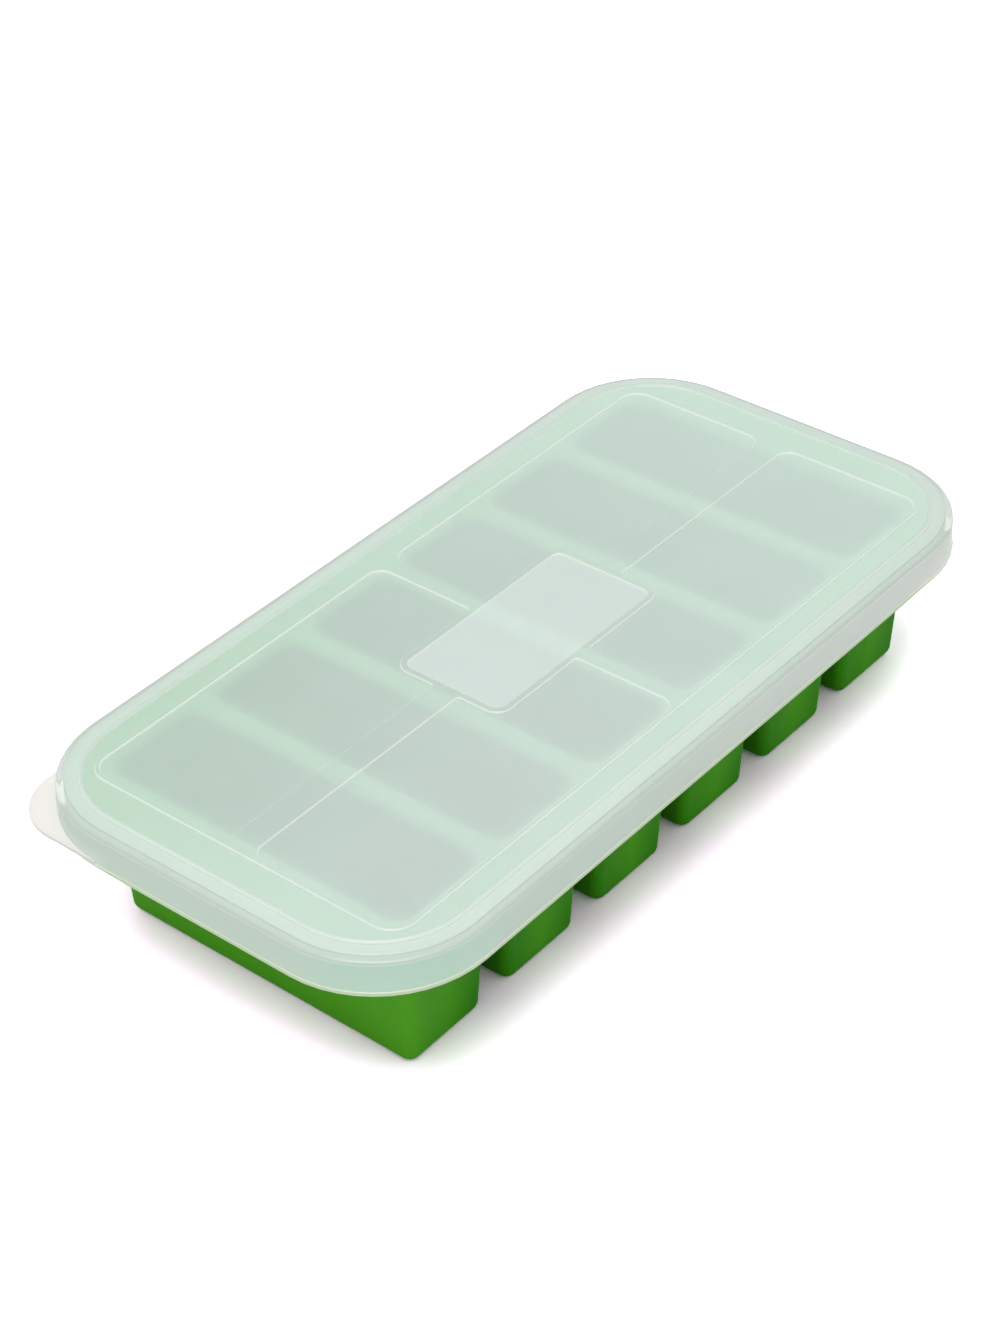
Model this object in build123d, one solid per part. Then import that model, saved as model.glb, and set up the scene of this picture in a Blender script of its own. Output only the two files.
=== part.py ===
# Freezer tray: a green silicone tray of six portion wells with a steel band in its rim,
# under a frosted snap-over lid with a pull tab at one corner
#
# Millimetres. +X runs along the tray, +Y across it, +Z up. The origin is on the table under the middle.

from build123d import *
import os
from math import atan, degrees, radians, tan

# Wells
WELL_COUNT = 6
WELL_PITCH = 38.9          # centre to centre along the tray
MOUTH_LENGTH = 30.8        # opening of one well along X
MOUTH_WIDTH = 99.4         # opening of one well along Y
WELL_CORNER_RADIUS = 4.5   # upright corners inside a well
WELL_BOTTOM_CHAMFER = 2.6  # slope round the floor, so that portions push out whole
FOOT_ROUND = 3.2           # upright corners and bottom edges outside a well
MOUTH_CHAMFER = 0.8        # eased edge between well and deck
WELL_WALL = 2.0
WELL_FLOOR = 2.4
END_DRAFT = 3.8            # degrees that the walls between wells lean in towards the foot
SIDE_DRAFT = 2.3           # degrees that the short end walls lean in towards the foot

# Tray
TRAY_HEIGHT = 49.2         # table to the flat top of the rim
RIM_LENGTH = 266.0
RIM_WIDTH = 129.0
RIM_CORNER_RADIUS = 31.2
DECK_THICKNESS = 3.0       # flat web round and between the wells
RIM_DEPTH = 7.0            # thick outer edge that holds the band
RIM_BORDER = 8.2           # width of that edge
RIM_CHAMFER = 1.2

# Steel band in the rim
BAND_WIDTH = 1.5
BAND_HEIGHT = 3.6
BAND_CLEARANCE = 0.05      # between steel and silicone, on every side
BAND_INSET = 3.4           # rim edge to the band's outer face

# Lid
LID_WALL = 1.2
LID_TOP = 1.4
LID_FIT = 1.1              # gap between rim and skirt, all round
SKIRT_DROP = 9.6           # rim top to the skirt's lower edge
SKIRT_FLARE = 0.2          # how far the skirt opens on that height
SHOULDER_WIDTH = 2.4       # step between skirt and raised top
SHOULDER_DROP = 0.6
SHOULDER_CHAMFER = 0.7
TOP_CHAMFER = 0.3
LIP_HEIGHT = 1.2           # small foot round the skirt's lower edge
LIP_REACH = 0.3
TAB_RADIUS = 17.0          # round corner of the pull tab
TAB_THICKNESS = 1.2
TAB_RISE = 0.9             # underside of the tab above the skirt's lower edge

# Relief on the lid
RELIEF_DRAFT = 30.0        # degrees of slope on the sides of every raised line
BEAD_INSET = 3.6           # edge of the raised top to the border bead
BEAD_WIDTH = 1.6
BEAD_HEIGHT = 0.8
FRAME_LENGTH = 237.8       # outline of the inner frame
FRAME_WIDTH = 107.1
FRAME_RADIUS = 7.5
FRAME_RIB = 1.8
CROSS_RIB_LONG = 9.0       # rib that runs along X
CROSS_RIB_SHORT = 6.2      # rib that runs along Y
POCKET_RADIUS = 4.5
RIB_HEIGHT = 0.6
LABEL_LENGTH = 72.0        # bare label field
LABEL_WIDTH = 37.6
LABEL_RADIUS = 5.0
LABEL_RIDGE = 2.4
LABEL_FIELD_HEIGHT = 0.3

# Places that follow from these
DECK_UNDERSIDE = TRAY_HEIGHT - DECK_THICKNESS
RIM_UNDERSIDE = TRAY_HEIGHT - RIM_DEPTH
BAND_MIDDLE = TRAY_HEIGHT - RIM_DEPTH / 2
SKIRT_BOTTOM = TRAY_HEIGHT - SKIRT_DROP
SKIRT_LEAN = degrees(atan(SKIRT_FLARE / SKIRT_DROP))
LID_SURFACE = TRAY_HEIGHT + LID_TOP
SHOULDER_HEIGHT = LID_SURFACE - SHOULDER_DROP

# Outlines with round corners, as (length, width, corner radius)
RIM_OUTLINE = (RIM_LENGTH, RIM_WIDTH, RIM_CORNER_RADIUS)
FRAME_OUTLINE = (FRAME_LENGTH, FRAME_WIDTH, FRAME_RADIUS)
LABEL_OUTLINE = (LABEL_LENGTH, LABEL_WIDTH, LABEL_RADIUS)


def grown(outline, by):
    """The same outline, moved out by a distance all round."""
    length, width, radius = outline
    return (length + 2 * by, width + 2 * by, radius + by)


def slab(outline, bottom, top, lean=0):
    """Block on a round-cornered outline, whose sides may lean in on the way up."""
    return Pos(0, 0, bottom) * extrude(RectangleRounded(*outline), top - bottom, taper=lean)


def edges_at(shape, height):
    """Edges that lie flat at one height."""
    return shape.edges().filter_by_position(Axis.Z, height - 0.01, height + 0.01)


def well_wedge(plane, mouth, draft, foot_height, reach):
    """Bar whose sides lean in towards the foot, drawn across one plane."""
    foot = mouth - 2 * (TRAY_HEIGHT - foot_height) * tan(radians(draft))
    corners = [(-foot / 2, foot_height), (foot / 2, foot_height),
               (mouth / 2, TRAY_HEIGHT), (-mouth / 2, TRAY_HEIGHT)]
    return extrude(plane * Polygon(*corners, align=None), reach, both=True)


def upright_edges(block):
    """The four leaning edges at the corners of a well."""
    return [edge for edge in block.edges() if edge.bounding_box().size.Z > TRAY_HEIGHT / 2]


def well_block(shell, foot_height, corner_radius):
    """Drafted block with round upright corners: the hollow, or its outside when a shell is added."""
    length = MOUTH_LENGTH + 2 * shell
    width = MOUTH_WIDTH + 2 * shell
    block = well_wedge(Plane.XZ, length, END_DRAFT, foot_height, width)
    block &= well_wedge(Plane.YZ, width, SIDE_DRAFT, foot_height, length)
    return fillet(upright_edges(block), corner_radius)


def well_body():
    """Outside of one well, from the table to the top of the rim, with its foot rounded."""
    block = well_block(WELL_WALL, 0, FOOT_ROUND)
    return fillet(edges_at(block, 0), FOOT_ROUND)


def well_hollow():
    """Inside of one well, from its floor up."""
    block = well_block(0, WELL_FLOOR, WELL_CORNER_RADIUS)
    return chamfer(edges_at(block, WELL_FLOOR), WELL_BOTTOM_CHAMFER)


def well_places():
    """Centre of each well along the tray."""
    first = -WELL_PITCH * (WELL_COUNT - 1) / 2
    return [Pos(first + WELL_PITCH * number, 0, 0) for number in range(WELL_COUNT)]


def rim():
    """Flat deck with a thick edge."""
    body = slab(RIM_OUTLINE, RIM_UNDERSIDE, TRAY_HEIGHT)
    body = chamfer(edges_at(body, TRAY_HEIGHT), RIM_CHAMFER)
    return body - slab(grown(RIM_OUTLINE, -RIM_BORDER), RIM_UNDERSIDE, DECK_UNDERSIDE)


def band_loop(clearance):
    """Closed loop of flat band on edge in the middle of the rim, or the space that it lies in."""
    outside = grown(RIM_OUTLINE, clearance - BAND_INSET)
    inside = grown(outside, -BAND_WIDTH - 2 * clearance)
    half = BAND_HEIGHT / 2 + clearance
    bottom, top = BAND_MIDDLE - half, BAND_MIDDLE + half
    return slab(outside, bottom, top) - slab(inside, bottom, top)


def tray():
    """Silicone tray in one moulding, with the space that the band lies in."""
    body = rim()
    body += [place * well_body() for place in well_places()]
    body -= [place * well_hollow() for place in well_places()]
    deck = body.faces().sort_by(Axis.Z)[-1]
    mouths = [edge for mouth in deck.inner_wires() for edge in mouth.edges()]
    body = chamfer(mouths, MOUTH_CHAMFER)
    return body - band_loop(BAND_CLEARANCE)


def rim_band():
    """Spring steel loop that keeps the soft rim flat and straight."""
    return band_loop(0)


def top_outline():
    """Outline of the lid's raised top, inside the shoulder."""
    return grown(RIM_OUTLINE, LID_FIT + LID_WALL - SHOULDER_WIDTH)


def lid_shell():
    """Top, shoulder and skirt, hollow underneath, with the small foot round the skirt and the tab."""
    inside_foot = grown(RIM_OUTLINE, LID_FIT + SKIRT_FLARE)
    outside_foot = grown(inside_foot, LID_WALL)

    skirt = slab(outside_foot, SKIRT_BOTTOM, SHOULDER_HEIGHT, SKIRT_LEAN)
    skirt = chamfer(edges_at(skirt, SHOULDER_HEIGHT), SHOULDER_CHAMFER)
    raised = slab(top_outline(), TRAY_HEIGHT, LID_SURFACE)
    raised = chamfer(edges_at(raised, LID_SURFACE), TOP_CHAMFER)
    lip_outline = grown(outside_foot, LIP_REACH)
    lip = slab(lip_outline, SKIRT_BOTTOM, SKIRT_BOTTOM + LIP_HEIGHT)
    hollow = slab(inside_foot, SKIRT_BOTTOM, TRAY_HEIGHT, SKIRT_LEAN)
    return skirt + raised + lip + pull_tab(lip_outline) - hollow


def pull_tab(lip_outline):
    """Flat tab that fills one corner of the skirt out to a squarer corner."""
    length, width, radius = lip_outline
    bottom = SKIRT_BOTTOM + TAB_RISE
    plate = slab((length, width, TAB_RADIUS), bottom, bottom + TAB_THICKNESS)
    middle = Pos((radius - length) / 2, (width - radius) / 2, bottom + TAB_THICKNESS / 2)
    return plate & middle * Box(radius, radius, TAB_THICKNESS)


def raised_line(face, height):
    """Relief with sloping sides on the lid's surface."""
    return Pos(0, 0, LID_SURFACE) * extrude(face, height, taper=RELIEF_DRAFT)


def border_bead():
    """Bead that runs all round, just inside the shoulder."""
    outline = grown(top_outline(), -BEAD_INSET)
    ring = RectangleRounded(*outline) - RectangleRounded(*grown(outline, -BEAD_WIDTH))
    return raised_line(ring, BEAD_HEIGHT)


def panel_ribs():
    """Frame and cross ribs round four sunken panels, with the label field over the crossing."""
    panel_length = (FRAME_LENGTH - 2 * FRAME_RIB - CROSS_RIB_SHORT) / 2
    panel_width = (FRAME_WIDTH - 2 * FRAME_RIB - CROSS_RIB_LONG) / 2
    step_x = (panel_length + CROSS_RIB_SHORT) / 2
    step_y = (panel_width + CROSS_RIB_LONG) / 2
    face = RectangleRounded(*FRAME_OUTLINE)
    for x in (-step_x, step_x):
        for y in (-step_y, step_y):
            face -= Pos(x, y) * RectangleRounded(panel_length, panel_width, POCKET_RADIUS)
    field = RectangleRounded(*grown(LABEL_OUTLINE, -LABEL_RIDGE))
    ribs = raised_line(face + RectangleRounded(*LABEL_OUTLINE) - field, RIB_HEIGHT)
    return ribs + Pos(0, 0, LID_SURFACE) * extrude(field, LABEL_FIELD_HEIGHT)


def lid():
    """Frosted lid in one moulding."""
    return lid_shell() + border_bead() + panel_ribs()


os.makedirs("parts", exist_ok=True)
for name, piece in (("tray", tray()), ("rim_band", rim_band()), ("lid", lid())):
    export_step(piece, f"parts/{name}.step")
    print(name, "solids", len(piece.solids()), "volume mm3", round(piece.volume, 1))

well_volume = well_hollow().volume / 1000
print("one well holds", round(well_volume, 1), "ml to the brim")
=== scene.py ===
from math import atan, cos, pi, radians, sin

import bmesh
import bpy
from mathutils import Matrix, Vector


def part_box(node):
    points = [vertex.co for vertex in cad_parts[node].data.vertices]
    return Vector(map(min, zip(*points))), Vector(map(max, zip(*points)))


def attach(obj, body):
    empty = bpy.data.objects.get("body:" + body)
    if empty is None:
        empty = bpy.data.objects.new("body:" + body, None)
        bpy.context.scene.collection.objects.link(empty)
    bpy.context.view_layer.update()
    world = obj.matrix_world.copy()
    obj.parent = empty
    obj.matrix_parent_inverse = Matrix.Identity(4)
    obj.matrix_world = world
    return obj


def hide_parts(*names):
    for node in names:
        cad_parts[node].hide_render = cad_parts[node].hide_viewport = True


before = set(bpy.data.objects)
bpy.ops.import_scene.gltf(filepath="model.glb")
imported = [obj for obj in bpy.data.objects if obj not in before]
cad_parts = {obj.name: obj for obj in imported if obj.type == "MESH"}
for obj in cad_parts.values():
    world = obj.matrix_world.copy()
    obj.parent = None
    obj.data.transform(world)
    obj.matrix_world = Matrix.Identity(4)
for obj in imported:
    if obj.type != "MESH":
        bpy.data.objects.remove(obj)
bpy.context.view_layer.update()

MM = 0.001
WHITE = (1, 1, 1)
WELL_PITCH = 38.9          # middle of one well to the middle of the next, along X
LID_LOW, LID_HIGH = [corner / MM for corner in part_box("lid")]
TRAY_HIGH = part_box("tray")[1] / MM

# Camera, fitted to the lid's lines and the feet of the wells
CAMERA_AZIMUTH = -50.38    # degrees round the vertical
CAMERA_ELEVATION = 36.78
CAMERA_ROLL = -1.27
CAMERA_DISTANCE = 0.8573   # metres, as the target's place is
CAMERA_TARGET = Vector((0.0178, 0.0254, 0.0158))
CAMERA_LENS = 80.0
SENSOR = 36.0

# Lid, as the solid model has it
LIP_CORNER = 34.0          # corner radius of the skirt's lowest outline
SKIRT_INSET = 0.3          # lip outline to the skirt's outer face
SKIRT_WALL = 1.2
SKIRT_FLARE = 0.2
LIP_HEIGHT = 1.2
SHOULDER_INSET = 2.9       # lip outline to the edge of the raised top
SHOULDER_DROP = 0.6
BEAD_HEIGHT = 0.8
BEAD_INSET = 6.5           # lip outline to the bead's outer foot
BEAD_WIDTH = 1.6
FRAME_HALF = (118.9, 53.55)
FRAME_CORNER = 7.5
FRAME_RIB = 1.8
CROSS_RIB = (6.2, 9.0)     # width of the rib along Y, then of the rib along X
POCKET_CORNER = 4.5
RIB_HEIGHT = 0.6
LABEL_HALF = (36.0, 18.8)
LABEL_CORNER = 5.0
LABEL_RIDGE = 2.4
LABEL_FIELD = 0.3          # height of the bare field above the lid's surface
TAB_CORNER = 17.0
TAB_RISE = 0.9
TAB_THICKNESS = 1.2
LID_TOP = LID_HIGH.z - BEAD_HEIGHT

# Finish of the lid, which the solid model leaves out
AIR = 0.25                 # film of air kept between the lid's top and the tray
LIP_ROUND = 0.3
SHOULDER_ROUND = 1.3
TOP_ROUND = 0.4
INNER_ROUND = 0.8
TAB_ROUND = 0.3
TAB_BEVEL = 0.09           # how far in the middle of the tab's rounding is
BEVEL = 0.1                # small steps where a rounding meets a flat
RIB_SLOPE = 0.6            # width of a rib's round side
FIELD_SLOPE = 0.5          # the same round the label's field
NOTCH_CORNER = 0.8         # where a panel's side turns into the label's frame
SHARPEST = 0.02            # least corner radius of an outline
CORNER_STEPS = 12
TAB_STEPS = 24
SLOPE_STEPS = 5
SHARP_ANGLE = 40           # edges that turn by more degrees stay sharp

# Material slots of the lid
OUTSIDE, INSIDE, RIDGE, BORDER, FIELD, TAB, SHOULDER, SKIRT, LIP = range(9)

# Silicone: its own two greens, and what lies over them in turn: a painted sheen mid-wall, painted light on
# the left end wall, painted light on the deck, and scuffs at the feet
LEAF_DARK = (0.032, 0.235, 0.0005)
LEAF_LIGHT = (0.042, 0.275, 0.001)
MID_WALL_SHEEN = (0.062, 0.335, 0.004)
END_PAINTED_LIGHT = (0.085, 0.39, 0.01)
DECK_PAINTED_LIGHT = (0.19, 0.345, 0.17)
SCUFF = (0.2, 0.36, 0.12)
END_WALL = (-96, -112)     # X where the painted light on the left end wall begins, and where it is brightest
DECK = (34, 38.5)          # heights where the painted light on the deck begins and where it is full
FOOT = (1.6, 0.1)          # heights where the scuffs begin and where they are full
MID_WALL = (0.23, 0.48)    # shares of the pitch, from a gap's middle towards a well's middle
SILICONE_CLOUDS = 26
MOTTLE_SIZE = 9
DECK_LIGHT_SHARE = (0.86, 1)
SPECK_SIZE = 2.5
SPECK_EDGE = (0.45, 0.65)  # part of the noise over which a speck fades in
SPECK_SHARE = 0.4          # how far the scuffs' colour covers the silicone's in a speck
SILICONE_ROUGHNESS = (0.42, 0.6)
SILICONE_GRAIN = ((14, 0.25), (0.5, 0.012))    # size and depth of each layer, as for the lid's

# Steel of the band in the rim
STEEL_DARK = (0.56, 0.56, 0.57)
STEEL_LIGHT = (0.64, 0.64, 0.63)
STEEL_CLOUDS = 12
STEEL_ROUGHNESS = (0.24, 0.42)
LINE_WIDTH = 0.4
LINE_LENGTH = 60           # how many times as long as wide a line is
LINE_DEPTH = 0.01

# Frosted plastic of the lid
PLASTIC_IOR = 1.45
VIEW_IOR = 1.12            # low, because a higher one darkens the lid's far edge
VIEW_ROUGHNESS = 0.09
GLOSS_ROUGHNESS = (0.22, 0.27)
GLOSS_TINT = (0.84, 0.86, 0.84)
SHADOW_TINT = (0.84, 0.88, 0.86)
INNER_TINT = (0.985, 1, 0.99)
INNER_CLOUDS = 18
MILK_VARIES = 0.02         # either way, in clouds
MILK_CLOUDS = 32
GLOSS_CLOUDS = 11
LID_GRAIN = ((22, 0.1), (0.6, 0.006))
GRADED = (-70, 100)        # X between which painted light and shade change the lid's look towards its right end
PAINTED_SHADE_BACK_LEFT = ((100, -60), (-25, 60))            # painted shade at the back left of the top; along X, then along Y, as for Nodes.along
# Painted shade at the front left of the skirt, a darker and greener tint
PAINTED_SHADE_FRONT_LEFT = ((-88, -112), (-28, -50))

# Floor, and the light on it that only the camera sees, which keeps the shadow pale
FLOOR_HALF = 3.0           # metres
FLOOR_BASE = (0.9, 0.9, 0.9)
SHADOW_ELLIPSE = (150, 85)
MIDDLE_REACH = (0.75, 1.15)                    # shares of the ellipse, as for Nodes.near
MIDDLE_LIFT = (1.13, 1.1, 1.13)
MIDDLE_LIFT_NEAR = (1.15, 0.8, 1.13)           # less green, because the wells tinge the floor
# More added light at the two ends paints the shadow paler there, and less at the front corner paints it
# darker
LEFT_REACH = (0.9, 1.3)
LEFT_LIFT = (2.15, 2.1, 2.15)
LEFT_LIFT_NEAR = (2.2, 1.32, 2.3)
LEFT_PLACE = ((-60, -130), (-75, -25))
CORNER_LIFT = (0.7, 0.66, 0.7)
CORNER_PLACE = ((-60, -115), (-40, -75))
RIGHT_LIFT = (2.15, 1.85, 2.15)
RIGHT_PLACE = (95, 140)

# Studio light, in metres and watts
WORLD_STRENGTH = 0.55
LAMP_SIZE = 0.97
LAMP_POWER = 17
LAMP_PLACE = (-0.36, -0.16, 1.7)


def make_camera():
    data = bpy.data.cameras.new("camera")
    data.lens = CAMERA_LENS
    data.sensor_fit = "VERTICAL"
    data.sensor_height = SENSOR
    camera = bpy.data.objects.new("camera", data)
    bpy.context.scene.collection.objects.link(camera)
    turn = (Matrix.Rotation(radians(CAMERA_AZIMUTH), 4, "Z")
            @ Matrix.Rotation(radians(90 - CAMERA_ELEVATION), 4, "X")
            @ Matrix.Rotation(radians(CAMERA_ROLL), 4, "Z"))
    away = turn @ Vector((0, 0, CAMERA_DISTANCE))
    camera.matrix_world = Matrix.Translation(CAMERA_TARGET + away) @ turn
    bpy.context.scene.camera = camera


def outline(corners, out=0.0):
    """Points round a polygon with round corners (x, y, radius), moved out by a distance."""
    points = []
    count = len(corners)
    for i, (x, y, radius) in enumerate(corners):
        here = Vector((x, y))
        before = (here - Vector(corners[i - 1][:2])).normalized()
        after = (Vector(corners[(i + 1) % count][:2]) - here).normalized()
        turn = 1 if before.x * after.y - before.y * after.x > 0 else -1
        here += out * (Vector((before.y, -before.x)) + Vector((after.y, -after.x)))
        radius = max(radius + turn * out, SHARPEST)
        centre = here + radius * (after - before)
        for step in range(CORNER_STEPS + 1):
            angle = step / CORNER_STEPS * pi / 2
            spoke = before * sin(angle) - after * cos(angle)
            points.append(centre + radius * spoke)
    return points


def rounded_box(half, radius):
    """Corners of a rectangle about the middle, anticlockwise."""
    x, y = half
    return [(x, -y, radius), (x, y, radius), (-x, y, radius), (-x, -y, radius)]


def arc(centre, radius, start, end, steps=4):
    """Points of a profile along an arc, angles in degrees."""
    angles = [radians(start + (end - start) * i / steps) for i in range(steps + 1)]
    return [(centre[0] + radius * cos(a), centre[1] + radius * sin(a)) for a in angles]


def slope(foot, top, width):
    """Round side of a ridge, from its foot to its crown, as (out, height) steps."""
    rise = top - foot
    bend = 2 * atan(rise / width)
    radius = width / sin(bend)
    turns = [bend * (1 - i / SLOPE_STEPS) for i in range(SLOPE_STEPS + 1)]
    return [(-width + radius * sin(t), top - radius * (1 - cos(t))) for t in turns]


def bead(*angles):
    """Points of the bead's round section, from 0 degrees at its outer foot to 180 at its inner one."""
    half = BEAD_WIDTH / 2
    return [(-BEAD_INSET - half + half * cos(radians(a)), LID_TOP + BEAD_HEIGHT * sin(radians(a)))
            for a in angles]


def corner_fan(middle, radius):
    """Quarter circle round the tab's corner of the lid, from its back to its left side."""
    angles = [pi / 2 * i / TAB_STEPS for i in range(TAB_STEPS + 1)]
    return [middle + radius * Vector((-sin(a), cos(a))) for a in angles]


class Skin:
    """Mesh built from loops of points at given heights, each face with the slot in use."""

    def __init__(self):
        self.mesh = bmesh.new()
        self.slot = OUTSIDE

    def loop(self, points, height):
        return [self.mesh.verts.new((p.x, p.y, height)) for p in points]

    def bridge(self, first, second):
        count = len(first)
        for i in range(count):
            j = (i + 1) % count
            face = self.mesh.faces.new((first[i], first[j], second[j], second[i]))
            face.material_index = self.slot

    def stack(self, corners, profile, last):
        """Loops of one outline, moved out and up by each step of a profile; returns the last."""
        for out, height in profile:
            ring = self.loop(outline(corners, out), height)
            self.bridge(last, ring)
            last = ring
        return last

    def ridge(self, corners, profile, last):
        """Stack whose last step is the ridge's crown, and the others its steep side, in the slot of a
        painted highlight.
        """
        self.slot = RIDGE
        last = self.stack(corners, profile[:-1], last)
        self.slot = OUTSIDE
        return self.stack(corners, profile[-1:], last)

    def fill(self, *loops):
        """Flat face inside one loop, less the loops within it."""
        edges = []
        for ring in loops:
            for i, vert in enumerate(ring):
                pair = (vert, ring[i - 1])
                edges.append(self.mesh.edges.get(pair) or self.mesh.edges.new(pair))
        filled = bmesh.ops.triangle_fill(self.mesh, use_beauty=True, use_dissolve=False, edges=edges)
        for face in filled["geom"]:
            if isinstance(face, bmesh.types.BMFace):
                face.material_index = self.slot

    def sunken(self, corners, height, rise, slot):
        """Flat floor with a ridge's side round it; returns the loop at its top."""
        self.slot = slot
        floor = self.loop(outline(corners), height)
        self.fill(floor)
        return self.ridge(corners, [(-out, up) for out, up in rise[1:]], floor)

    def finish(self, name):
        bmesh.ops.recalc_face_normals(self.mesh, faces=self.mesh.faces)
        self.mesh.transform(Matrix.Scale(MM, 4))
        data = bpy.data.meshes.new(name)
        self.mesh.to_mesh(data)
        self.mesh.free()
        piece = bpy.data.objects.new(name, data)
        bpy.context.scene.collection.objects.link(piece)
        return piece


def pocket(side_x, side_y):
    """Outline of one sunken panel, with the label's corner cut out of it, anticlockwise."""
    near_x, near_y = CROSS_RIB[0] / 2, CROSS_RIB[1] / 2
    far_x, far_y = FRAME_HALF[0] - FRAME_RIB, FRAME_HALF[1] - FRAME_RIB
    label_x, label_y = LABEL_HALF
    corners = [(label_x, near_y, NOTCH_CORNER),
               (far_x, near_y, POCKET_CORNER),
               (far_x, far_y, FRAME_CORNER - FRAME_RIB),
               (near_x, far_y, POCKET_CORNER),
               (near_x, label_y, NOTCH_CORNER),
               (label_x, label_y, LABEL_CORNER)]
    corners = [(side_x * x, side_y * y, r) for x, y, r in corners]
    return corners if side_x * side_y > 0 else corners[::-1]


def lid_edge(skin, lip, start):
    """Outer side of the lid, from the foot of its skirt over the bead to the bead's inner foot."""
    low = LID_LOW.z
    shoulder = LID_TOP - SHOULDER_DROP
    lip_turn = arc((-LIP_ROUND, low + LIP_ROUND), LIP_ROUND, -90, 0)[1:]
    lip_turn += arc((-LIP_ROUND, low + LIP_HEIGHT - LIP_ROUND), LIP_ROUND, 0, 80)
    lip_turn.append((-SKIRT_INSET - BEVEL / 2, low + LIP_HEIGHT + BEVEL))

    flare = SKIRT_FLARE * (shoulder - low) / (TRAY_HIGH.z - low)
    centre = (-SKIRT_INSET - flare - SHOULDER_ROUND, shoulder - SHOULDER_ROUND)
    skirt = arc(centre, SHOULDER_ROUND, 0, 30, 2)
    shoulder_turn = arc(centre, SHOULDER_ROUND, 45, 90, 3)
    shoulder_turn.append((-SHOULDER_INSET + 1.5 * BEVEL, shoulder))
    shoulder_turn.append((-SHOULDER_INSET, shoulder + BEVEL))

    border = arc((-SHOULDER_INSET - TOP_ROUND, LID_TOP - TOP_ROUND), TOP_ROUND, 0, 90)
    border.append((-BEAD_INSET, LID_TOP))
    last = start
    # The bead's flanks take the ridge slot, whose whiter plastic is a painted highlight
    for slot, profile in ((LIP, lip_turn), (SKIRT, skirt), (SHOULDER, shoulder_turn), (BORDER, border),
                          (RIDGE, bead(20, 40, 60)), (BORDER, bead(80, 100, 120, 140)),
                          (RIDGE, bead(160, 180))):
        skin.slot = slot
        last = skin.stack(lip, profile, last)
    return last


def lid_relief(skin, last):
    """Raised frame and ribs inside the bead, with the four panels and the label's field sunk in them."""
    crown = LID_TOP + RIB_HEIGHT
    rib_side = slope(LID_TOP, crown, RIB_SLOPE)
    frame_corners = rounded_box(FRAME_HALF, FRAME_CORNER)
    skin.slot = OUTSIDE
    last = skin.stack(frame_corners, rib_side[:1], last)
    top = skin.ridge(frame_corners, rib_side[1:], last)
    holes = [skin.sunken(pocket(x, y), LID_TOP, rib_side, OUTSIDE)
             for x, y in ((1, 1), (-1, 1), (-1, -1), (1, -1))]

    field_half = (LABEL_HALF[0] - LABEL_RIDGE, LABEL_HALF[1] - LABEL_RIDGE)
    field = rounded_box(field_half, LABEL_CORNER - LABEL_RIDGE)
    field_height = LID_TOP + LABEL_FIELD
    field_side = slope(field_height, crown, FIELD_SLOPE)
    holes.append(skin.sunken(field, field_height, field_side, FIELD))
    skin.fill(top, *holes)


def lid_inside(skin, lip, start):
    """Inner side of the skirt and the flat underside of the top."""
    low = LID_LOW.z
    under = TRAY_HIGH.z + AIR
    wall_in = SKIRT_INSET + SKIRT_WALL
    inner_face = -wall_in - SKIRT_FLARE
    inside = [(-wall_in + BEVEL, low), (-wall_in, low + BEVEL)]
    inside += arc((inner_face - INNER_ROUND, under - INNER_ROUND), INNER_ROUND, 0, 90)
    skin.slot = INSIDE
    last = skin.stack(lip, inside, start)
    skin.fill(last)


def lid_body():
    """Top, shoulder, skirt and relief as one closed skin."""
    skin = Skin()
    lip = rounded_box((LID_HIGH.x, LID_HIGH.y), LIP_CORNER)
    start = skin.loop(outline(lip, -LIP_ROUND), LID_LOW.z)
    lid_relief(skin, lid_edge(skin, lip, start))
    lid_inside(skin, lip, start)
    return skin.finish("lid_shell")


def lid_tab():
    """Flat tab at one corner, ending inside the skirt's wall."""
    skin = Skin()
    skin.slot = TAB
    x, y = LID_HIGH.x, LID_HIGH.y
    buried = LIP_CORNER - SKIRT_INSET - SKIRT_WALL / 2
    inner = corner_fan(Vector((-x + LIP_CORNER, y - LIP_CORNER)), buried)[::-1]

    def rim(inset):
        left, back, radius = -x + inset, y - inset, TAB_CORNER - inset
        turn = corner_fan(Vector((left + radius, back - radius)), radius)
        return [Vector((-x + LIP_CORNER, back))] + turn + [Vector((left, y - LIP_CORNER))] + inner

    low = LID_LOW.z + TAB_RISE
    high = low + TAB_THICKNESS
    first = skin.loop(rim(TAB_ROUND), low)
    last = first
    for inset, height in ((TAB_BEVEL, low + TAB_BEVEL), (0, low + TAB_ROUND), (0, high - TAB_ROUND),
                          (TAB_BEVEL, high - TAB_BEVEL), (TAB_ROUND, high)):
        ring = skin.loop(rim(inset), height)
        skin.bridge(last, ring)
        last = ring
    skin.fill(first)
    skin.fill(last)
    return skin.finish("lid_tab")


def join_tab(body, tab):
    """Fuses the tab to the lid's body, and drops the tab's own object."""
    fuse = body.modifiers.new("fuse", "BOOLEAN")
    fuse.operation = "UNION"
    fuse.solver = "EXACT"
    fuse.object = tab
    bpy.context.view_layer.update()
    depsgraph = bpy.context.evaluated_depsgraph_get()
    fused = bpy.data.meshes.new_from_object(body.evaluated_get(depsgraph))
    body.modifiers.clear()
    body.data = fused
    bpy.data.objects.remove(tab)


def smooth(piece):
    """Smooth shading that keeps sharp edges sharp and flat faces flat."""
    piece.data.polygons.foreach_set("use_smooth", [True] * len(piece.data.polygons))
    piece.data.set_sharp_from_angle(angle=radians(SHARP_ANGLE))
    weigh = piece.modifiers.new("weigh", "WEIGHTED_NORMAL")
    weigh.keep_sharp = True


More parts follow.
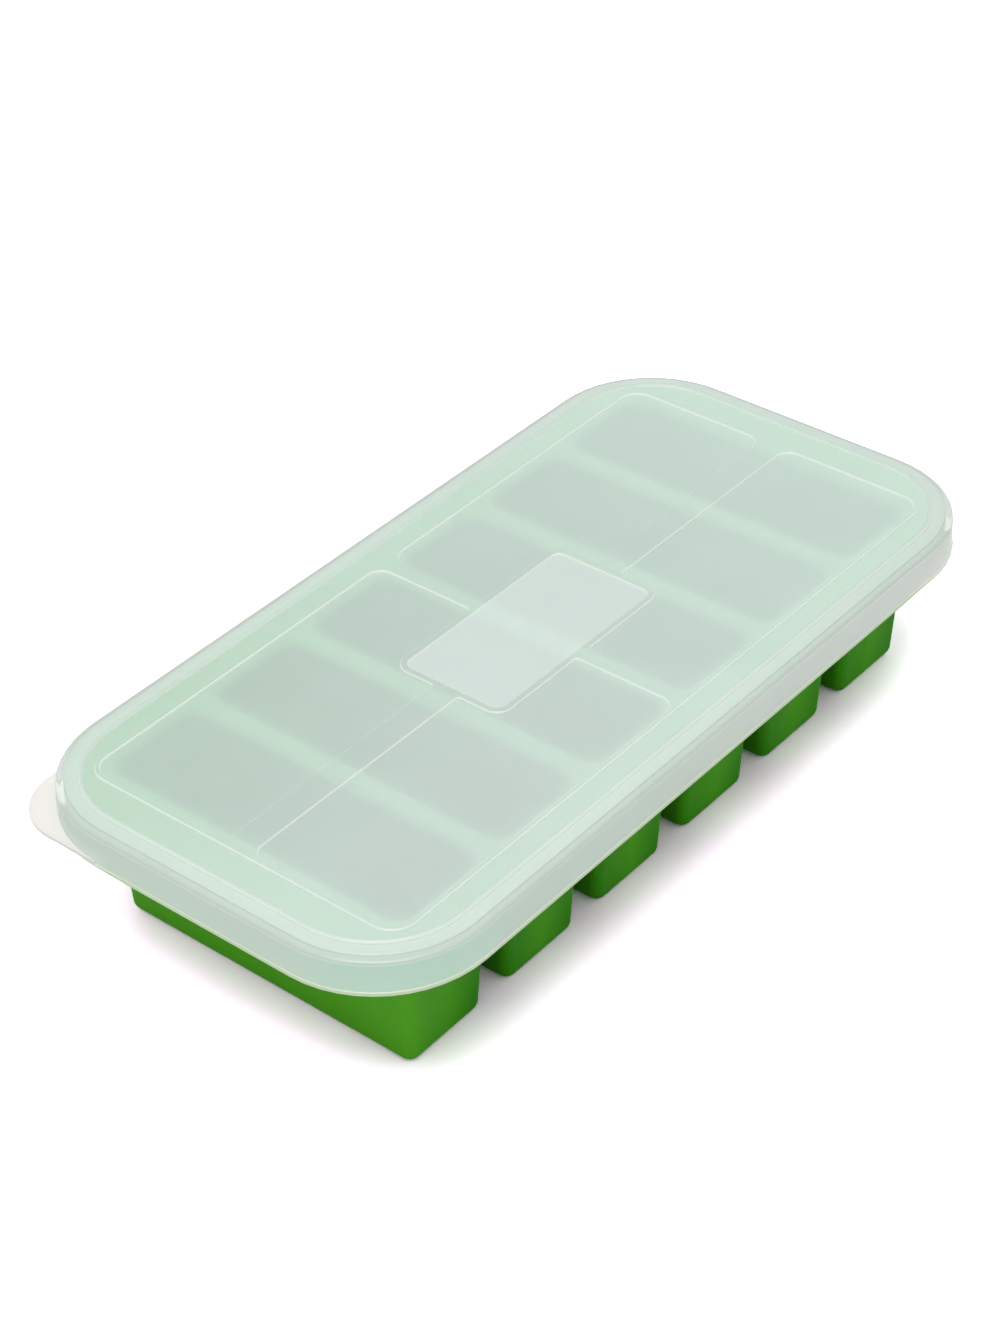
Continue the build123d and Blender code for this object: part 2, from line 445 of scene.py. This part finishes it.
class Nodes:
    """Short way to add and link the shader nodes of a new material, or of a new world."""

    def __init__(self, name, store=None):
        if store is None:
            store = bpy.data.materials
        self.owner = store.new(name)
        self.owner.use_nodes = True
        self.tree = self.owner.node_tree
        self.tree.nodes.clear()

    def add(self, kind, **settings):
        """New node. A setting is one of its properties, or else a socket, with _ for each space."""
        node = self.tree.nodes.new(kind)
        for name, value in settings.items():
            if hasattr(node, name):
                setattr(node, name, value)
            else:
                node.inputs[name.replace("_", " ")].default_value = value
        return node

    def link(self, out, into):
        self.tree.links.new(out, into)

    def mix(self, share, first, second):
        """Mix of two shaders; the share is a number or a socket."""
        node = self.add("ShaderNodeMixShader")
        if isinstance(share, (int, float)):
            node.inputs[0].default_value = share
        else:
            self.link(share, node.inputs[0])
        self.link(first.outputs[0], node.inputs[1])
        self.link(second.outputs[0], node.inputs[2])
        return node

    def scaled(self, units):
        """Where a point is, counted in a unit of length for each axis, in millimetres."""
        point = self.add("ShaderNodeTexCoord")
        count = self.add("ShaderNodeMapping", Scale=tuple(1 / (unit * MM) for unit in units))
        self.link(point.outputs["Object"], count.inputs["Vector"])
        return count.outputs[0]

    def noise(self, size, detail=2.0, stretch=(1, 1, 1)):
        """Noise whose grains are about as large as the size, in millimetres."""
        texture = self.add("ShaderNodeTexNoise", Scale=1.0, Detail=detail, Roughness=0.55)
        self.link(self.scaled([size * longer for longer in stretch]), texture.inputs["Vector"])
        return texture.outputs["Fac"]

    def spread(self, value, low, high, start=0.3, end=0.7):
        """The value's range from start to end, by default a noise's, becomes low to high."""
        node = self.add("ShaderNodeMapRange", From_Min=start, From_Max=end, To_Min=low, To_Max=high)
        self.link(value, node.inputs["Value"])
        return node.outputs[0]

    def place(self, axis):
        """Where a point is along an axis, in metres."""
        point = self.add("ShaderNodeTexCoord")
        parts = self.add("ShaderNodeSeparateXYZ")
        self.link(point.outputs["Object"], parts.inputs[0])
        return parts.outputs[axis]

    def along(self, axis, start, end):
        """0 at one place on an axis, in millimetres, 1 at another, and between them in between."""
        return self.spread(self.place(axis), 0, 1, start * MM, end * MM)

    def mid_wall(self):
        """1 along the middle of each well's wall, falling to 0 at its corners; it places a painted sheen.
        """
        wave = self.add("ShaderNodeMath", operation="PINGPONG")
        wave.inputs[1].default_value = WELL_PITCH / 2 * MM
        self.link(self.place("X"), wave.inputs[0])
        low, high = MID_WALL
        return self.spread(wave.outputs[0], 0, 1, WELL_PITCH * low * MM, WELL_PITCH * high * MM)

    def near(self, radii, start, end):
        """1 near the middle of an ellipse on the floor, falling to 0 between two shares of its radii."""
        away = self.add("ShaderNodeVectorMath", operation="LENGTH")
        self.link(self.scaled((*radii, 1)), away.inputs[0])
        return self.spread(away.outputs["Value"], 1, 0, start, end)

    def math(self, operation, first, second):
        """What the Math node makes of two sockets."""
        node = self.add("ShaderNodeMath", operation=operation)
        self.link(first, node.inputs[0])
        self.link(second, node.inputs[1])
        return node.outputs[0]

    def times(self, first, second):
        return self.math("MULTIPLY", first, second)

    def area(self, across, back):
        """1 in one part of the object, given by what along() takes for X and for Y."""
        return self.times(self.along("X", *across), self.along("Y", *back))

    def blend(self, share, first, second):
        """Colour between two colours, each a tuple or a socket."""
        node = self.add("ShaderNodeMix", data_type="RGBA")
        self.link(share, node.inputs[0])
        # The node has sockets of the same names for numbers and vectors too
        colours = [socket for socket in node.inputs if socket.type == "RGBA"]
        for value, socket in zip((first, second), colours):
            if isinstance(value, tuple):
                socket.default_value = (*value, 1)
            else:
                self.link(value, socket)
        return next(socket for socket in node.outputs if socket.type == "RGBA")

    def grain(self, layers):
        """The (value, depth) layers that bump() takes, from (size, depth) ones, in millimetres."""
        return [(self.noise(size), depth) for size, depth in layers]

    def bump(self, layers, *shaders):
        """Raised grain from (value, depth) layers, the depth in millimetres, for the shaders given."""
        last = None
        for value, depth in layers:
            node = self.add("ShaderNodeBump", Distance=depth * MM, Strength=1.0)
            self.link(value, node.inputs["Height"])
            if last:
                self.link(last, node.inputs["Normal"])
            last = node.outputs[0]
        for shader in shaders:
            self.link(last, shader.inputs["Normal"])

    def done(self, shader, kind="ShaderNodeOutputMaterial"):
        """Puts the shader out, and returns the material or world."""
        out = self.add(kind)
        self.link(shader.outputs[0], out.inputs[0])
        return self.owner


def silicone():
    """Matt moulded silicone, leaf green, with painted light on the deck, mid-wall and left end wall, and
    scuffed feet.
    """
    nodes = Nodes("silicone")
    clouds = nodes.spread(nodes.noise(SILICONE_CLOUDS, detail=3), 0, 1)
    colour = nodes.blend(clouds, LEAF_DARK, LEAF_LIGHT)
    # Painted sheen, lighter mid-way along each well's outer wall
    colour = nodes.blend(nodes.mid_wall(), colour, MID_WALL_SHEEN)
    # Painted light on the left end wall
    colour = nodes.blend(nodes.along("X", *END_WALL), colour, END_PAINTED_LIGHT)
    # The deck is painted paler in patches, standing in for light through the lid and a sheen on it
    mottle = nodes.noise(MOTTLE_SIZE, detail=4)
    deck_light = nodes.times(nodes.along("Z", *DECK), nodes.spread(mottle, *DECK_LIGHT_SHARE))
    colour = nodes.blend(deck_light, colour, DECK_PAINTED_LIGHT)
    specks = nodes.spread(nodes.noise(SPECK_SIZE, detail=6), 0, SPECK_SHARE, *SPECK_EDGE)
    scuffed = nodes.times(nodes.along("Z", *FOOT), specks)
    colour = nodes.blend(scuffed, colour, SCUFF)
    shader = nodes.add("ShaderNodeBsdfPrincipled", Specular_IOR_Level=0.1)
    nodes.link(colour, shader.inputs["Base Color"])
    nodes.link(nodes.spread(mottle, *SILICONE_ROUGHNESS), shader.inputs["Roughness"])
    nodes.bump(nodes.grain(SILICONE_GRAIN), shader)
    return nodes.done(shader)


def steel():
    """Bright rolled strip, with fine lines along its length."""
    nodes = Nodes("steel")
    colour = nodes.blend(nodes.spread(nodes.noise(STEEL_CLOUDS, detail=4), 0, 1), STEEL_DARK, STEEL_LIGHT)
    lines = nodes.noise(LINE_WIDTH, detail=3, stretch=(LINE_LENGTH, LINE_LENGTH, 1))
    shader = nodes.add("ShaderNodeBsdfPrincipled", Metallic=1.0)
    nodes.link(colour, shader.inputs["Base Color"])
    nodes.link(nodes.spread(lines, *STEEL_ROUGHNESS), shader.inputs["Roughness"])
    nodes.bump([(lines, LINE_DEPTH)], shader)
    return nodes.done(shader)


def frosted(name, milk, tint, glow=0.3, far_milk=None, painted_shades=None):
    """Milky plastic of the lid: part white, part glowing with the light behind, part blurred view.

    Milk is the share of the first two, and glow the second's share of them. Far milk is the milk at the
    lid's right end. Painted shades, the tint there and a patch's tint and place, are painted light and
    shade.
    """
    nodes = Nodes(name)
    front = nodes.add("ShaderNodeBsdfDiffuse", Color=(*tint, 1))
    back = nodes.add("ShaderNodeBsdfTranslucent", Color=(*tint, 1))
    if painted_shades:
        far_tint, patch_tint, patch_place = painted_shades
        colour = nodes.blend(nodes.along("X", *GRADED), tint, far_tint)
        colour = nodes.blend(nodes.area(*patch_place), colour, patch_tint)
        nodes.link(colour, front.inputs["Color"])
        nodes.link(colour, back.inputs["Color"])
    view = nodes.add("ShaderNodeBsdfRefraction", Color=(*WHITE, 1), Roughness=VIEW_ROUGHNESS, IOR=VIEW_IOR)
    share = nodes.spread(nodes.noise(MILK_CLOUDS, detail=3), milk - MILK_VARIES, milk + MILK_VARIES)
    if far_milk:
        more = nodes.spread(nodes.along("X", *GRADED), 0, far_milk - milk, start=0, end=1)
        share = nodes.math("ADD", share, more)
    body = nodes.mix(share, view, nodes.mix(glow, front, back))
    gloss = nodes.add("ShaderNodeBsdfAnisotropic", Color=(*GLOSS_TINT, 1))
    roughness = nodes.spread(nodes.noise(GLOSS_CLOUDS, detail=3), *GLOSS_ROUGHNESS)
    nodes.link(roughness, gloss.inputs["Roughness"])
    nodes.bump(nodes.grain(LID_GRAIN), front, gloss)
    edge = nodes.add("ShaderNodeFresnel", IOR=PLASTIC_IOR)
    lit = nodes.mix(edge.outputs[0], body, gloss)
    rays = nodes.add("ShaderNodeLightPath")
    passed = nodes.add("ShaderNodeBsdfTransparent", Color=(*SHADOW_TINT, 1))
    return nodes.done(nodes.mix(rays.outputs["Is Shadow Ray"], lit, passed))


def clear():
    """Inner side of the lid, which lets all but a little of the light through."""
    nodes = Nodes("clear")
    clouds = nodes.spread(nodes.noise(INNER_CLOUDS, detail=3), 0, 1)
    view = nodes.add("ShaderNodeBsdfTransparent")
    nodes.link(nodes.blend(clouds, INNER_TINT, WHITE), view.inputs["Color"])
    return nodes.done(view)


def lid_coats():
    """The lid's materials, in the order of its slots. The green in their tints is painted light from the
    tray.
    """
    return (
        frosted("frosted", milk=0.79, far_milk=0.86, tint=(0.885, 1, 0.97),
                painted_shades=((0.845, 1, 0.935), (0.75, 0.92, 0.82), PAINTED_SHADE_BACK_LEFT)),
        clear(),
        # Whiter plastic on the sides of the ribs and the bead's flanks: a painted highlight
        frosted("frosted_ridge_highlight", milk=0.93, tint=(0.955, 1, 0.972), glow=0.2),
        frosted("frosted_border", milk=0.9, tint=(0.9, 0.985, 0.955),
                painted_shades=((0.86, 0.95, 0.92), (0.84, 0.95, 0.9), PAINTED_SHADE_BACK_LEFT)),
        frosted("frosted_field", milk=0.94, tint=(0.9, 1, 0.97)),
        frosted("frosted_tab", milk=0.94, tint=(0.955, 0.92, 0.9)),
        frosted("frosted_shoulder", milk=0.7, tint=(0.95, 1, 0.975)),
        frosted("frosted_skirt", milk=0.92, far_milk=0.97, tint=(0.87, 0.975, 0.925),
                painted_shades=(WHITE, (0.78, 1, 0.9), PAINTED_SHADE_FRONT_LEFT)),
        frosted("frosted_lip", milk=0.85, tint=(0.9, 0.97, 0.8)),
    )


def paint(piece, *materials):
    """Fills the material slots. Clearing them resets each face's slot, so empty ones are left alone."""
    if piece.data.materials:
        piece.data.materials.clear()
    for material in materials:
        piece.data.materials.append(material)


def seen_rays(nodes):
    """1 where the camera sees a surface, straight, in a gloss or through plastic."""
    rays = nodes.add("ShaderNodeLightPath").outputs
    seen = nodes.math("MAXIMUM", rays["Is Camera Ray"], rays["Is Glossy Ray"])
    return nodes.math("MAXIMUM", seen, rays["Is Transmission Ray"])


def floor_lift(nodes):
    """Colour of the floor's added light, by where the shadow falls."""
    middle = nodes.blend(nodes.near(SHADOW_ELLIPSE, *MIDDLE_REACH), MIDDLE_LIFT, MIDDLE_LIFT_NEAR)
    left = nodes.blend(nodes.near(SHADOW_ELLIPSE, *LEFT_REACH), LEFT_LIFT, LEFT_LIFT_NEAR)
    colour = nodes.blend(nodes.area(*LEFT_PLACE), middle, left)
    colour = nodes.blend(nodes.area(*CORNER_PLACE), colour, CORNER_LIFT)
    return nodes.blend(nodes.along("X", *RIGHT_PLACE), colour, RIGHT_LIFT)


def make_floor():
    mesh = bpy.data.meshes.new("floor")
    corners = [(x * FLOOR_HALF, y * FLOOR_HALF, 0) for x, y in ((-1, -1), (1, -1), (1, 1), (-1, 1))]
    mesh.from_pydata(corners, [], [(0, 1, 2, 3)])
    floor = bpy.data.objects.new("floor", mesh)
    bpy.context.scene.collection.objects.link(floor)
    nodes = Nodes("floor")
    base = nodes.add("ShaderNodeBsdfDiffuse", Color=(*FLOOR_BASE, 1))
    lift = nodes.add("ShaderNodeBsdfDiffuse")
    nodes.link(floor_lift(nodes), lift.inputs["Color"])
    bright = nodes.add("ShaderNodeAddShader")
    nodes.link(base.outputs[0], bright.inputs[0])
    nodes.link(lift.outputs[0], bright.inputs[1])
    white = nodes.add("ShaderNodeBsdfDiffuse", Color=(*WHITE, 1))
    unlifted = nodes.mix(seen_rays(nodes), base, white)
    rays = nodes.add("ShaderNodeLightPath")
    mesh.materials.append(nodes.done(nodes.mix(rays.outputs["Is Camera Ray"], unlifted, bright)))


def make_light():
    nodes = Nodes("studio", bpy.data.worlds)
    lit = nodes.add("ShaderNodeBackground", Color=(*WHITE, 1), Strength=WORLD_STRENGTH)
    seen = nodes.add("ShaderNodeBackground", Color=(*WHITE, 1), Strength=1.0)
    bpy.context.scene.world = nodes.done(nodes.mix(seen_rays(nodes), lit, seen), "ShaderNodeOutputWorld")
    data = bpy.data.lights.new("overhead", "AREA")
    data.shape = "SQUARE"
    data.size = LAMP_SIZE
    data.energy = LAMP_POWER
    lamp = bpy.data.objects.new("overhead", data)
    lamp.location = LAMP_PLACE
    lamp.rotation_euler = (-lamp.location).to_track_quat("-Z", "Y").to_euler()
    bpy.context.scene.collection.objects.link(lamp)


make_camera()
paint(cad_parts["tray"], silicone())
paint(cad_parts["rim_band"], steel())
lid = lid_body()
tab = lid_tab()
coats = lid_coats()
paint(lid, *coats)
paint(tab, *coats)
join_tab(lid, tab)
smooth(lid)
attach(lid, "lid")
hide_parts("lid")
make_floor()
make_light()
bpy.context.scene.view_settings.view_transform = "Standard"
